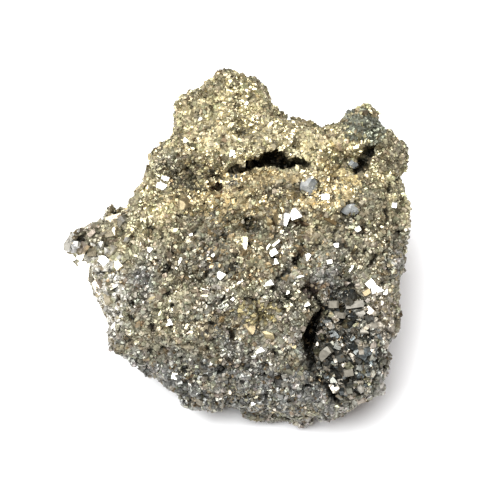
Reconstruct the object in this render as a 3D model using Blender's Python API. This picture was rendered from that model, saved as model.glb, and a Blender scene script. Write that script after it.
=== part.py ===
"""Pyrite specimen: a broken lump of fine-grained pyrite that lies on a flat break.

It has a knob at the back left, a smaller knob at the right, a pointed spur at the left, an open crack
across its upper half, a crystal-lined hollow at its lower right, and three grains of quartz grown into
its surface. Sizes are in millimetres, and are turned into metres where a mesh is made. +Z is up, -Y is
the front, and the origin is on the surface that the lump lies on, under the middle of its box.
"""

import math
import random

import bmesh
import bpy
from mathutils import Euler, Matrix, Vector, noise
from mathutils.bvhtree import BVHTree

MM = 0.001
FIT_GAP = 0.32  # clear space between solids that touch

# The broad face leans back, and its normal points this far above the horizon. u runs right across the
# face, v runs up it, and w comes out of it, all from the heart of the lump.
FACE_ELEVATION = math.radians(57)
FACE_U = Vector((1, 0, 0))
FACE_V = Vector((0, math.sin(FACE_ELEVATION), math.cos(FACE_ELEVATION)))
FACE_W = Vector((0, -math.cos(FACE_ELEVATION), math.sin(FACE_ELEVATION)))
HEART = Vector((0.02, 0.83, 15.0))

# The lump's edge as seen square to its face, clockwise from the left foot of the back knob: (u, v).
OUTLINE = (
    (-10.5, 17.4), (-10.1, 22.8), (-8.6, 27.8), (-3.8, 30.2), (1.6, 28.2), (4.4, 25.2), (4.8, 22.0),
    (6.2, 20.2), (9.0, 19.4), (12.7, 18.8), (14.6, 18.6), (15.8, 20.7), (17.8, 21.8), (20.2, 21.2),
    (22.0, 19.4), (23.4, 18.3), (24.4, 16.0), (24.6, 12.8), (24.8, 9.6), (24.6, 6.0), (24.1, 1.0),
    (24.0, -4.4), (24.2, -7.7), (23.9, -11.4), (23.5, -14.8), (23.8, -18.2), (22.4, -21.0),
    (19.0, -22.6), (16.0, -24.2), (11.6, -25.2), (8.5, -26.0), (1.2, -25.0), (-3.7, -24.2),
    (-7.6, -22.9), (-11.0, -21.0), (-14.2, -18.5), (-18.8, -15.6), (-19.8, -13.0), (-19.7, -9.6),
    (-21.4, -5.4), (-24.6, -1.6), (-26.6, 0.8), (-24.4, 2.8), (-19.6, 5.0), (-16.2, 6.4),
    (-14.4, 10.2), (-13.3, 14.8),
)

# The breaks that bound the lump: (direction that each faces, its distance from the heart).
BREAKS = (
    ((0.05, -0.10, 1.0), 14.5),  # top
    ((0.06, -0.52, 0.85), 14.5),  # upper front
    ((-0.10, -0.84, 0.54), 18.0),  # lower front
    ((0.0, -0.98, -0.18), 29.0),  # foot of the front
    ((0.10, 0.95, -0.35), 23.5),  # back
    ((0.72, 0.66, -0.15), 27.0),  # back right
    ((-0.66, 0.72, 0.16), 22.0),  # back left
    ((-0.74, -0.10, -0.66), 20.0),  # under the spur
    ((0.92, -0.05, -0.38), 24.0),  # under the right side
    ((0.0, 0.10, -1.0), 17.0),  # underside
)
EDGE_SHARPNESS = 13  # a higher one leaves sharper edges between the breaks
BACK_REACH = 18.5  # away from the face, the ins and outs of the edge even out towards this reach
BACK_EVENING = 1.7

# Swells and dips of the broad face: (u, v, reach along u, reach along v, height).
RELIEF = (
    (-2.6, 20.6, 5.0, 4.5, 2.4),  # back knob
    (3.4, 15.4, 13.0, 3.0, 1.9),  # block above the crack
    (18.0, 18.0, 3.4, 3.0, 2.4),  # right knob
    (16.0, 13.4, 2.6, 1.8, -1.6),  # saddle below the right knob
    (-7.5, 9.8, 5.6, 2.3, -3.0),  # dark dip left of the crack
    (-7.0, 7.0, 6.5, 1.1, 2.2),  # rim below the dark dip
    (6.5, 9.4, 7.5, 1.6, 2.4),  # ledge under the crack
    (17.8, 7.1, 6.5, 2.6, 1.6),  # ledge at the right
    (2.0, 3.0, 15.0, 2.2, -1.8),  # hollow run under the ledges
    (-16.1, 4.8, 2.4, 2.4, -1.7),  # notch behind the spur
    (-21.1, 1.0, 4.5, 4.0, -2.5),  # spur
    (-6.7, -8.2, 13.0, 4.0, 1.2),  # crest above the lower front
    (2.4, -12.0, 6.5, 2.6, -1.0),  # dip in the lower front
)
RELIEF_FADE = 6.0  # the relief dies out over this depth, towards the lump's edge

# Unevenness of every side: (size of its swells, their height).
SWELLS = ((12.0, 1.2), (5.0, 0.7), (2.2, 0.6))
BLOCK_SIZE = 4.2  # the rock breaks into facets about this wide, each with its own lean and step
BLOCK_LEAN = 1.2
BLOCK_STEP = 0.8
SPHERE_STEPS = 6
MASS_TRIANGLES = 4500
FAR_ABOVE = 40.0  # lines that look for the surface along the face's normal start this far out
FAR_ROUND = 60.0  # and those that look for it from any side start this far from the heart

# The open crack: its upper edge from left to right, then its lower edge back again, on the face.
CRACK_EDGE = (
    (-1.7, 11.4), (0.2, 12.4), (1.3, 13.0), (3.2, 13.2), (3.8, 13.9), (5.2, 14.3), (6.6, 13.9),
    (7.4, 13.1), (8.8, 13.3), (10.1, 12.9), (9.9, 12.2), (8.6, 11.8), (7.3, 11.9), (6.6, 11.2),
    (5.6, 12.1), (3.9, 11.9), (2.1, 12.1), (0.7, 11.5), (-1.3, 10.8),
)
CRACK_DEPTH = 6.0
CRACK_LEAN = 0.8  # how far its floor lies further up the face than its mouth
CRACK_NARROWING = (0.94, 0.75)  # its floor's size along u and v, as shares of its mouth's
CRACK_MOUTH = 2.5  # the cut starts this far out of the surface

# Pits: (u, v, reach along u, reach along v, depth).
PITS = (
    (0.5, 16.8, 0.9, 0.5, 1.6),
    (17.9, 12.4, 1.1, 1.4, 2.6),
    (18.9, 14.4, 1.3, 1.2, 2.4),
    (-3.6, 9.1, 1.1, 0.9, 1.9),
    (-20.1, -4.8, 0.5, 0.5, 1.2),
    (-18.7, -3.0, 0.4, 0.4, 1.1),
    (3.4, -10.4, 0.9, 0.7, 1.2),
)

HOLLOW_CENTRE = (15.2, -13.9)
HOLLOW_REACH = (6.0, 7.6, 4.6)  # along u, v and w
HOLLOW_UNEVEN = 0.34  # how far its wall strays, as a share of its reach
HOLLOW_WAVES = 1.7  # a higher one makes its wall's ins and outs closer together
CRUST_DROP = 0.4  # how far the bed of the hollow's crystals lies under the rim, in the middle
CRUST_TILT = 0.32  # how steeply the bed falls towards the left, where a gap is left open

# Quartz grains: name, place on the face (u, v), and reach along u, v and w.
QUARTZ_GRAINS = (
    ("quartz_grain_upper", (10.0, 9.2), (1.7, 1.6, 1.4)),
    ("quartz_grain_right", (16.0, 5.8), (1.8, 1.0, 1.3)),
    ("quartz_chip", (16.7, 12.7), (0.9, 1.1, 1.0)),
)
QUARTZ_SUNK = 0.45  # share of its reach along w by which a grain's middle lies under the surface
QUARTZ_UNEVEN = (0.85, 1.1)  # its corners stray between these shares of its reach

# Coarse crystals that stand out of the face: (u, v, (length, width, thickness), turn in the face).
SPUR_CRYSTALS = (
    (-24.0, 1.0, (2.4, 1.8, 1.6), 35), (-23.4, -1.8, (1.4, 1.2, 1.2), 10),
    (-18.7, 4.8, (3.1, 2.3, 2.2), 70), (-20.0, 4.8, (1.4, 1.2, 1.1), 20),
    (-18.9, 2.5, (1.8, 1.4, 1.3), 40), (-20.4, 1.0, (1.9, 1.4, 1.5), 15),
    (-18.7, -0.2, (1.6, 1.5, 1.2), 60), (-21.4, -2.8, (3.2, 1.4, 1.4), -50),
    (-20.2, -4.6, (3.0, 1.3, 1.4), -55), (-22.3, 2.3, (1.6, 1.5, 1.3), 30),
    (-21.6, -0.8, (1.4, 1.2, 1.3), 5), (-17.2, 3.1, (1.7, 1.2, 1.3), 25),
)
FACE_CRYSTALS = (
    (6.5, 4.7, (2.4, 1.4, 1.5), 65), (8.2, 5.3, (1.5, 1.3, 1.3), 20), (0.7, 0.8, (2.0, 1.1, 1.2), 75),
    (5.1, -1.8, (1.3, 1.0, 1.0), 30), (9.8, -0.8, (2.0, 1.4, 1.2), 55), (-2.8, -3.7, (1.4, 1.3, 1.1), 10),
    (4.1, -4.7, (1.7, 1.3, 1.2), 40), (12.4, 7.6, (1.4, 1.1, 1.1), 25), (-10.9, 9.3, (2.0, 1.3, 1.3), 80),
    (20.1, -5.5, (2.0, 1.9, 1.8), 15), (17.7, -6.3, (1.6, 1.3, 1.3), 35), (9.7, -7.9, (1.3, 1.0, 1.1), 0),
    (-10.3, -10.6, (1.3, 1.2, 1.1), 45), (-4.0, -16.3, (1.2, 1.1, 1.0), 20), (6.9, -19.1, (1.7, 1.5, 1.4), 50),
    (-9.3, -18.1, (1.3, 1.1, 1.1), 5), (1.9, -22.3, (1.2, 1.0, 1.0), 65), (14.4, -22.5, (1.9, 1.7, 1.6), 30),
    (2.9, -14.6, (1.6, 1.2, 1.2), 10), (20.7, 15.7, (1.8, 1.6, 1.5), 40), (18.2, 18.2, (1.9, 1.7, 1.5), 15),
    (-9.0, 7.8, (1.4, 1.2, 1.2), 50), (-5.3, 10.5, (1.3, 1.2, 1.1), 30), (-12.9, 6.0, (1.5, 1.2, 1.2), 60),
)
CRYSTAL_SUNK = 0.28  # share of a crystal's thickness by which its middle lies under the surface
CRYSTAL_LEAN = 0.5  # the most that a listed crystal leans out of the face, in radians
SCATTERED_CRYSTALS = 60
SCATTERED_SIZE = (1.4, 2.4)
SCATTERED_SUNK = 0.3
SCATTERED_SHAPE = (0.6, 0.8)  # a scattered block's least width, and its thickness, as shares of its length
TWELVE_SIDED_EVERY = 3  # one scattered crystal in this many is twelve-sided
TWELVE_SIDED_SIZE = 1.2  # how much larger it is than a block
GROUND_CLEARANCE = 1.6  # no crystal's middle is nearer than this to the surface that the lump lies on
GROUND_SIZE = 160.0

HOLLOW_SUNK = -0.1  # the crystals in the hollow stand out of its bed by this share of their thickness

# The hollow's crystals: (u, v, (length, width, thickness), turn in the face).
HOLLOW_CRYSTALS = (
    (13.0, -7.5, (1.9, 1.3, 1.4), 20), (16.0, -7.7, (2.4, 1.6, 1.5), -15), (14.3, -9.2, (2.2, 1.3, 1.4), 10),
    (17.2, -9.3, (1.6, 1.3, 1.5), 40), (18.6, -10.6, (2.0, 1.6, 1.5), 65), (17.1, -11.6, (2.0, 1.5, 1.6), 30),
    (15.6, -12.4, (2.3, 1.9, 1.7), -20), (12.8, -11.6, (1.7, 1.4, 1.4), 50), (12.2, -14.9, (2.7, 2.1, 1.8), 35),
    (14.6, -15.4, (1.9, 1.6, 1.6), 5), (17.4, -14.9, (2.1, 1.6, 1.6), 55), (19.2, -13.3, (1.6, 1.5, 1.4), 15),
    (15.6, -17.4, (1.9, 1.4, 1.5), -30), (12.7, -17.9, (1.6, 1.5, 1.5), 25), (18.5, -17.2, (1.8, 1.4, 1.4), 70),
    (16.6, -19.5, (2.4, 1.3, 1.5), 80),
)


def face_point(u, v, w):
    """A point in the part's frame, from the face's own measures."""
    return HEART + FACE_U * u + FACE_V * v + FACE_W * w


def face_turn(degrees):
    """The turn from the part's axes to the face's, after a turn about the face's normal."""
    axes = Matrix((FACE_U, FACE_V, FACE_W)).transposed()
    return axes @ Matrix.Rotation(math.radians(degrees), 3, "Z")


def outline_reach(u, v):
    """How far the outline lies from the heart, along the direction (u, v) of length 1."""
    for (ax, ay), (bx, by) in zip(OUTLINE, OUTLINE[1:] + OUTLINE[:1]):
        side_a = u * ay - v * ax
        side_b = u * by - v * bx
        if side_a * side_b <= 0 and side_a != side_b:
            share = side_a / (side_a - side_b)
            reach = (ax + share * (bx - ax)) * u + (ay + share * (by - ay)) * v
            if reach > 0:
                return reach
    raise ValueError("the outline doesn't go round the heart")


def lump_reach(direction):
    """How far the lump reaches from its heart: the prism of its outline, met by its breaks."""
    u = direction.dot(FACE_U)
    v = direction.dot(FACE_V)
    across = math.hypot(u, v)
    closeness = 0.0
    if across > 1e-6:
        edge = outline_reach(u / across, v / across)
        edge += (BACK_REACH - edge) * min(max(-direction.dot(FACE_W) * BACK_EVENING, 0), 1)
        closeness += (across / edge) ** EDGE_SHARPNESS
    for normal, distance in BREAKS:
        towards = direction.dot(Vector(normal).normalized())
        if towards > 0:
            closeness += (towards / distance) ** EDGE_SHARPNESS
    return closeness ** (-1 / EDGE_SHARPNESS)


def face_relief(point):
    """How far the swells and dips of the face move a point out of it."""
    offset = point - HEART
    u = offset.dot(FACE_U)
    v = offset.dot(FACE_V)
    on_face = min(max(offset.dot(FACE_W) / RELIEF_FADE, 0), 1)
    return on_face * sum(
        height * math.exp(-(((u - cu) / ru) ** 2) - ((v - cv) / rv) ** 2)
        for cu, cv, ru, rv, height in RELIEF
    )


def uneven(point):
    """The height of a broken surface's unevenness at a point: swells, and facets that step."""
    block = noise.voronoi(point / BLOCK_SIZE)[1][0]
    lean = noise.cell_vector(block * 31) - Vector((0.5, 0.5, 0.5))
    height = BLOCK_LEAN * lean.dot(point / BLOCK_SIZE - block) + BLOCK_STEP * (noise.cell(block * 17) - 0.5)
    return height + sum(swell * noise.noise(point / size) for size, swell in SWELLS)


def new_object(name, bm, material=None):
    """An object from a bmesh in millimetres. One with no material is a cutter or a guide."""
    bmesh.ops.scale(bm, vec=(MM, MM, MM), verts=bm.verts)
    bmesh.ops.recalc_face_normals(bm, faces=bm.faces)
    mesh = bpy.data.meshes.new(name)
    bm.to_mesh(mesh)
    bm.free()
    obj = bpy.data.objects.new(name, mesh)
    bpy.context.scene.collection.objects.link(obj)
    if material:
        mesh.materials.append(material)
    else:
        obj.hide_render = True
        obj.display_type = "WIRE"
    return obj


def new_material(name, colour, metallic, roughness):
    """A plain material."""
    material = bpy.data.materials.new(name)
    material.use_nodes = True
    shader = material.node_tree.nodes["Principled BSDF"]
    shader.inputs["Base Color"].default_value = (*colour, 1)
    shader.inputs["Metallic"].default_value = metallic
    shader.inputs["Roughness"].default_value = roughness
    return material


def combine(obj, other, operation):
    """Add a Boolean of another solid, whose own parts may overlap, to an object."""
    step = obj.modifiers.new(other.name, "BOOLEAN")
    step.operation = operation
    step.solver = "EXACT"
    step.use_self = True
    step.object = other


def rough_lump():
    """The lump before anything is cut into it."""
    bm = bmesh.new()
    bmesh.ops.create_icosphere(bm, subdivisions=SPHERE_STEPS, radius=1)
    for vert in bm.verts:
        direction = vert.co.normalized()
        point = HEART + direction * lump_reach(direction)
        point += FACE_W * face_relief(point)
        vert.co = point + direction * uneven(point - HEART)
    return bm


def surface_finder(bm):
    """A function that gives the point where a line along a direction first meets a mesh."""
    tree = BVHTree.FromBMesh(bm)

    def find(start, direction):
        return tree.ray_cast(start, direction)[0]

    return find


def add_block(bm, centre, turn, size):
    """Add a blocky crystal."""
    placed = Matrix.Translation(centre) @ turn.to_4x4() @ Matrix.Diagonal((*size, 1))
    bmesh.ops.create_cube(bm, size=1, matrix=placed)


def add_twelve_sided(bm, centre, turn, size):
    """Add a crystal with twelve five-sided faces, the form that pyrite is named for."""
    slope = 0.5
    far = 1 + slope
    near = 1 - slope ** 2
    corners = [(x, y, z) for x in (-1, 1) for y in (-1, 1) for z in (-1, 1)]
    for a in (-far, far):
        for b in (-near, near):
            corners += [(0, a, b), (a, b, 0), (b, 0, a)]
    verts = [
        bm.verts.new(centre + turn @ Vector(corner) * (size / (2 * far)))
        for corner in corners
    ]
    hull = bmesh.ops.convex_hull(bm, input=verts)
    bmesh.ops.dissolve_limit(
        bm,
        angle_limit=math.radians(2),
        verts=verts,
        edges=[item for item in hull["geom"] if isinstance(item, bmesh.types.BMEdge)],
    )


def add_listed_crystals(bm, crystals, sunk, find, rng):
    """Add blocky crystals at listed places on the face, each leaning its own way."""
    for u, v, size, degrees in crystals:
        surface = find(face_point(u, v, FAR_ABOVE), -FACE_W)
        if surface is None:
            continue
        leans = [rng.uniform(-CRYSTAL_LEAN, CRYSTAL_LEAN) for _ in range(2)]
        lean = Euler((*leans, 0)).to_matrix()
        add_block(bm, surface - FACE_W * size[2] * sunk, face_turn(degrees) @ lean, size)


def crystals_on_mass(find):
    """The coarse crystals that are grown into the lump's surface."""
    rng = random.Random(22)
    bm = bmesh.new()
    add_listed_crystals(bm, SPUR_CRYSTALS + FACE_CRYSTALS, CRYSTAL_SUNK, find, rng)
    placed = 0
    while placed < SCATTERED_CRYSTALS:
        direction = Vector((rng.gauss(0, 1), rng.gauss(0, 1), rng.gauss(0, 1))).normalized()
        surface = find(HEART + direction * FAR_ROUND, -direction)
        if surface is None or surface.z < GROUND_CLEARANCE:
            continue
        size = rng.uniform(*SCATTERED_SIZE)
        turn = Euler([rng.uniform(0, math.pi) for _ in range(3)]).to_matrix()
        centre = surface - direction * size * SCATTERED_SUNK
        if placed % TWELVE_SIDED_EVERY:
            narrowest, thickness = SCATTERED_SHAPE
            block = (size, size * rng.uniform(narrowest, 1), size * thickness)
            add_block(bm, centre, turn, block)
        else:
            add_twelve_sided(bm, centre, turn, size * TWELVE_SIDED_SIZE)
        placed += 1
    return new_object("coarse_crystals", bm)


def crack_cutter(find):
    """The open crack, which narrows as it runs in under the block above it."""
    bm = bmesh.new()
    middle_u = sum(u for u, v in CRACK_EDGE) / len(CRACK_EDGE)
    middle_v = sum(v for u, v in CRACK_EDGE) / len(CRACK_EDGE)
    surface = (find(face_point(middle_u, middle_v, FAR_ABOVE), -FACE_W) - HEART).dot(FACE_W)
    mouth = [bm.verts.new(face_point(u, v, surface + CRACK_MOUTH)) for u, v in CRACK_EDGE]
    rim = bm.faces.new(mouth)
    grown = bmesh.ops.extrude_face_region(bm, geom=[rim])
    floor = [item for item in grown["geom"] if isinstance(item, bmesh.types.BMVert)]
    for vert, (u, v) in zip(floor, CRACK_EDGE):
        vert.co = face_point(
            middle_u + (u - middle_u) * CRACK_NARROWING[0],
            middle_v + (v - middle_v) * CRACK_NARROWING[1] + CRACK_LEAN,
            surface - CRACK_DEPTH,
        )
    return new_object("crack", bm)


def pit_cutter(find):
    """The pits, each sunk into the surface where it lies."""
    bm = bmesh.new()
    for u, v, reach_u, reach_v, depth in PITS:
        surface = find(face_point(u, v, FAR_ABOVE), -FACE_W)
        shape = face_turn(0).to_4x4() @ Matrix.Diagonal((reach_u, reach_v, depth, 1))
        bmesh.ops.create_icosphere(
            bm, subdivisions=2, radius=1, matrix=Matrix.Translation(surface) @ shape
        )
    return new_object("pits", bm)


def hollow_solid(find, gap):
    """The space of the crystal-lined hollow, smaller by a gap all round, and its middle."""
    middle = find(face_point(*HOLLOW_CENTRE, FAR_ABOVE), -FACE_W)
    bm = bmesh.new()
    bmesh.ops.create_icosphere(bm, subdivisions=3, radius=1)
    shape = face_turn(0) @ Matrix.Diagonal(HOLLOW_REACH)
    for vert in bm.verts:
        offset = shape @ (vert.co * (1 + HOLLOW_UNEVEN * noise.noise(vert.co * HOLLOW_WAVES)))
        vert.co = middle + offset - offset.normalized() * gap
    return bm, middle


def quartz_solid(place, reach, gap, find, seed):
    """A broken grain of quartz with flat faces, larger by a gap all round."""
    rng = random.Random(seed)
    middle = find(face_point(*place, FAR_ABOVE), -FACE_W) - FACE_W * reach[2] * QUARTZ_SUNK
    shape = face_turn(rng.uniform(0, 60)) @ Matrix.Diagonal([size + gap for size in reach])
    bm = bmesh.new()
    bmesh.ops.create_icosphere(bm, subdivisions=1, radius=1)
    for vert in bm.verts:
        vert.co = middle + shape @ (vert.co * rng.uniform(*QUARTZ_UNEVEN))
    bmesh.ops.convex_hull(bm, input=bm.verts)
    loose = [vert for vert in bm.verts if not vert.link_faces]
    bmesh.ops.delete(bm, geom=loose, context="VERTS")
    return bm


def ground():
    """All that lies under the surface that the lump rests on."""
    bm = bmesh.new()
    under = Matrix.Translation((0, 0, -GROUND_SIZE / 2))
    bmesh.ops.create_cube(bm, size=GROUND_SIZE, matrix=under)
    return new_object("ground", bm)


def build_hollow_crystals(find, material):
    """The crust of coarse crystals on the floor of the hollow, clear of its wall."""
    bed, middle = hollow_solid(find, FIT_GAP)
    bmesh.ops.bisect_plane(
        bed,
        geom=bed.verts[:] + bed.edges[:] + bed.faces[:],
        plane_co=middle - FACE_W * CRUST_DROP,
        plane_no=FACE_W - FACE_U * CRUST_TILT,
        clear_outer=True,
    )
    bmesh.ops.holes_fill(bed, edges=[edge for edge in bed.edges if edge.is_boundary])
    bmesh.ops.recalc_face_normals(bed, faces=bed.faces)
    find_bed = surface_finder(bed)
    crystals = bmesh.new()
    add_listed_crystals(crystals, HOLLOW_CRYSTALS, HOLLOW_SUNK, find_bed, random.Random(5))
    crust = new_object("vug_crystals", bed, material)
    combine(crust, new_object("hollow_crystals", crystals), "UNION")
    combine(crust, new_object("hollow_fit", hollow_solid(find, FIT_GAP)[0]), "INTERSECT")
    return crust


def build_mass(material):
    """The lump of pyrite with all that is cut into it and grown out of it, and its first surface."""
    bm = rough_lump()
    find = surface_finder(bm)
    mass = new_object("pyrite_mass", bm, material)
    coarser = mass.modifiers.new("facets", "DECIMATE")
    coarser.ratio = MASS_TRIANGLES / len(mass.data.polygons)
    combine(mass, crystals_on_mass(find), "UNION")
    combine(mass, crack_cutter(find), "DIFFERENCE")
    combine(mass, pit_cutter(find), "DIFFERENCE")
    combine(mass, new_object("hollow", hollow_solid(find, 0)[0]), "DIFFERENCE")
    for seed, (name, place, reach) in enumerate(QUARTZ_GRAINS):
        pocket = new_object(name + "_pocket", quartz_solid(place, reach, FIT_GAP, find, seed))
        combine(mass, pocket, "DIFFERENCE")
    combine(mass, ground(), "DIFFERENCE")
    return find


for old in list(bpy.data.objects):
    bpy.data.objects.remove(old, do_unlink=True)

pyrite = new_material("pyrite", (0.46, 0.41, 0.29), 0.9, 0.38)
dark_pyrite = new_material("vug_pyrite", (0.33, 0.31, 0.25), 0.9, 0.32)
quartz = new_material("quartz", (0.66, 0.70, 0.74), 0.0, 0.12)

find_surface = build_mass(pyrite)
build_hollow_crystals(find_surface, dark_pyrite)
for number, (grain_name, grain_place, grain_reach) in enumerate(QUARTZ_GRAINS):
    new_object(grain_name, quartz_solid(grain_place, grain_reach, 0, find_surface, number), quartz)
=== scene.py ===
import math

import bmesh
import bpy
import numpy as np
from mathutils import Matrix, Vector, noise
from mathutils.bvhtree import BVHTree


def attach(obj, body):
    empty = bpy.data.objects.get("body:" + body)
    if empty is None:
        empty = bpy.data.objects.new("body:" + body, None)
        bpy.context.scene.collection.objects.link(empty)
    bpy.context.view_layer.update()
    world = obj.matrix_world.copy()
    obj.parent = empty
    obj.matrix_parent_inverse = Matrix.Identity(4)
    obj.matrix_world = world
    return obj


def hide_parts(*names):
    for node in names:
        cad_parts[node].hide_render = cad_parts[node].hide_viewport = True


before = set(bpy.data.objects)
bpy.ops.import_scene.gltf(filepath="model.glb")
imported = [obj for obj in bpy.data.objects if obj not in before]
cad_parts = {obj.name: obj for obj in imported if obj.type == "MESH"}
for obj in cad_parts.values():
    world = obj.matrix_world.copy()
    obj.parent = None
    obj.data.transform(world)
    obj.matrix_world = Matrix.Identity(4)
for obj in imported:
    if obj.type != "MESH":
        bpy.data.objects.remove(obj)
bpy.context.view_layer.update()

# --- Pyrite ground -----------------------------------------------------------------------------------
# The lump is massive pyrite, a bed of small crystals grown tight together. This piece is the ground that
# the separate crystals stand in: the broken surface of the imported solid, a little under it, worked into
# facets about as wide as a grain. Painted shade darkens its hollows, gaps and cracks.

MM = 0.001
GROUND_STEP = 0.37 * MM  # spacing of the ground's points
GROUND_SUNK = 0.20 * MM  # how far the ground lies under the solid, so that the grains' tips reach it
FACET_RELIEF = ((1.7, 0.22), (0.8, 0.12))  # (width of the facets, height of their relief), in mm
ROUGHNESS_RELIEF = 0.04 * MM
REST_LEVEL = 0.10 * MM  # the lump lies on its grains' tips, so the ground stays this far off the table
EVENING_ROUNDS = 60  # how often the surface is evened out to find how deep its hollows are
SHADE_DEPTHS = (0.15, 1.3)  # painted shade begins at the first depth of hollow and is full at the second, in mm
# how dark the painted shade makes the deepest hollows
SHADE_STRENGTH = 0.88
GAP_SIZE = 1.1  # how wide apart the small gaps between the grains lie, in mm
GAP_LIMITS = (0.52, 0.66)
GAP_DEPTH = 0.45 * MM
DULLING = 0.3  # what the dullest patches add to the roughness
DULL_SIZE = 3.2  # how wide the dull and the bright patches of the ore are, in mm

# The broad face leans back. u runs right across it, v runs up it, and w comes out of it.
FACE_ELEVATION = math.radians(57)
FACE_U = np.array((1.0, 0.0, 0.0))
FACE_V = np.array((0.0, math.sin(FACE_ELEVATION), math.cos(FACE_ELEVATION)))
FACE_W = np.array((0.0, -math.cos(FACE_ELEVATION), math.sin(FACE_ELEVATION)))
HEART = np.array((0.02, 0.83, 15.0)) * MM

# The colours of pyrite, from fresh to stained.
BRASS = np.array((0.56, 0.50, 0.31))
SILVER = np.array((0.33, 0.325, 0.29))
OLIVE = np.array((0.25, 0.226, 0.145))
BROWN = np.array((0.17, 0.115, 0.06))
TARNISH = 0.80  # what the tarnish leaves of them

# Patches of one colour on the face, a few of them painted shade or light: (u, v, reach along u, reach along v, colour,
# its share).
PATCHES = (
    (20.6, -9.6, 2.0, 5.0, (0.56, 0.51, 0.42), 0.55),
    (2.0, 16.6, 8.0, 3.2, (0.66, 0.60, 0.43), 0.34),
    (13.0, 10.6, 5.0, 2.6, (0.72, 0.64, 0.44), 0.45),
    (15.7, 1.8, 2.6, 3.2, (0.18, 0.165, 0.125), 0.36),
    (-4.6, 0.0, 3.4, 2.2, (0.19, 0.175, 0.125), 0.30),
    (-6.8, 10.3, 3.4, 2.2, (0.17, 0.155, 0.11), 0.45),
    # painted shade: a pit painted near black
    (-3.6, 9.1, 1.2, 0.8, (0.06, 0.03, 0.014), 0.95),
    (-4.4, 7.6, 2.2, 0.9, (0.70, 0.59, 0.34), 0.8),
    (-8.6, 6.8, 1.9, 0.7, (0.56, 0.45, 0.27), 0.7),
    (-0.6, 10.2, 1.0, 0.8, (0.15, 0.15, 0.14), 0.7),
    (4.5, 10.4, 4.8, 1.3, (0.56, 0.46, 0.27), 0.6),
    (14.0, 9.8, 3.4, 2.4, (0.66, 0.55, 0.31), 0.6),
    (18.6, 18.0, 2.8, 2.4, (0.26, 0.27, 0.20), 0.6),
    (-1.1, -2.9, 1.4, 1.2, (0.10, 0.095, 0.075), 0.7),
    (-6.7, -3.2, 1.8, 1.3, (0.11, 0.095, 0.06), 0.65),
    # painted shadow: the dark brown shadow under a bright crystal
    (8.3, 4.0, 1.4, 0.5, (0.07, 0.045, 0.025), 0.9),
    (2.4, -9.0, 3.5, 1.6, (0.58, 0.50, 0.27), 0.6),
    (-19.5, -6.0, 3.2, 6.0, (0.64, 0.62, 0.55), 0.6),
    (2.0, 15.5, 11.0, 3.2, (0.68, 0.60, 0.38), 0.45),
    (-1.0, 20.5, 3.0, 3.0, (0.75, 0.67, 0.42), 0.35),
    # painted light: the ridge under the crack lightened against the crack's shade
    (1.5, 10.9, 5.0, 0.9, (0.75, 0.62, 0.36), 0.7),
    (12.5, 7.6, 4.5, 1.8, (0.74, 0.63, 0.39), 0.6),
    (2.0, 6.3, 9.0, 2.6, (0.60, 0.49, 0.28), 0.35),
    (-3.5, -10.8, 4.5, 2.0, (0.52, 0.46, 0.32), 0.5),
    (2.0, -15.5, 4.0, 2.0, (0.20, 0.19, 0.16), 0.4),
    (18.0, 19.0, 3.4, 2.8, (0.20, 0.205, 0.16), 0.55),
    (-6.0, 8.0, 5.0, 2.0, (0.62, 0.52, 0.30), 0.35),
    # partly the ore's own grey, partly painted shade on the lower rim
    (-3.0, -20.5, 17.0, 4.0, (0.19, 0.19, 0.175), 0.45),
    (1.5, 0.0, 10.0, 4.0, (0.46, 0.36, 0.21), 0.16),
    (21.5, -1.0, 2.0, 9.0, (0.42, 0.36, 0.24), 0.3),
    # painted shade: a near-black spot at the top of the hollow's crevice
    (10.3, -5.6, 1.1, 1.0, (0.06, 0.045, 0.035), 0.8),
    (-25.6, 0.9, 2.4, 3.0, (0.74, 0.74, 0.72), 0.55),
)

# The cracks of the face, sunk into it and painted black as shade: points along each, as (u, v, half its width there),
# in mm.
CRACKS = (
    ((-1.6, 11.4, 0.3), (-0.6, 11.7, 0.6), (0.6, 11.9, 0.55), (2.0, 12.6, 0.6), (3.3, 12.8, 0.65), (4.2, 13.4, 1.0),
     (5.3, 13.5, 1.25), (6.3, 12.8, 0.95), (7.2, 12.3, 0.4), (8.0, 12.9, 0.4), (9.0, 13.0, 0.5), (10.1, 12.4, 0.3)),
    ((10.4, -6.2, 0.3), (11.3, -7.3, 0.35), (12.0, -8.4, 0.35), (11.3, -9.6, 0.5), (10.6, -10.8, 0.75), (10.2, -12.3, 0.85),
     (10.1, -13.8, 0.8), (10.3, -15.6, 0.6), (10.7, -17.4, 0.45), (11.1, -18.4, 0.35)),
    ((12.0, -8.4, 0.2), (13.4, -8.2, 0.22), (15.1, -8.1, 0.2), (17.6, -8.3, 0.12)),
    ((19.9, -0.8, 0.1), (19.2, -1.6, 0.2), (18.6, -2.4, 0.15), (18.2, -2.9, 0.05)),
    ((11.2, -18.6, 0.3), (12.6, -19.6, 0.5), (13.4, -20.8, 0.75), (14.2, -21.9, 0.4)),
    ((17.0, 11.6, 0.5), (17.8, 12.6, 0.9), (18.9, 14.0, 0.65), (19.6, 14.8, 0.35)),
    ((-0.4, 17.4, 0.12), (0.5, 17.2, 0.35), (1.1, 17.2, 0.12)),
    ((-7.2, 10.4, 0.3), (-6.6, 10.7, 0.3)),
    ((14.0, -20.3, 0.3), (14.1, -20.8, 0.3)),
    ((-20.1, -4.5, 0.15), (-19.9, -5.1, 0.2)),
    ((-18.9, -2.7, 0.15), (-18.6, -3.1, 0.2)),
    ((-22.2, -0.4, 0.15), (-21.8, -1.0, 0.2), (-21.2, -1.4, 0.1)),
)
CRACK_KEPT_FREE = 0.22  # how far from a crack the middles of the grains keep, in mm
CRACK_SUNK = 0.7 * MM
CRACK_SHADE = 0.05  # painted shade: what the cracks leave of the colour


def face_place(points):
    """Points' places across the broad face, up it and out of it, in mm."""
    return (points - HEART) @ np.stack((FACE_U, FACE_V, FACE_W), axis=1) / MM


def from_face(u, v, w):
    """The point at a place on the broad face, given in mm."""
    return HEART + (FACE_U * u + FACE_V * v + FACE_W * w) * MM


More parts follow.
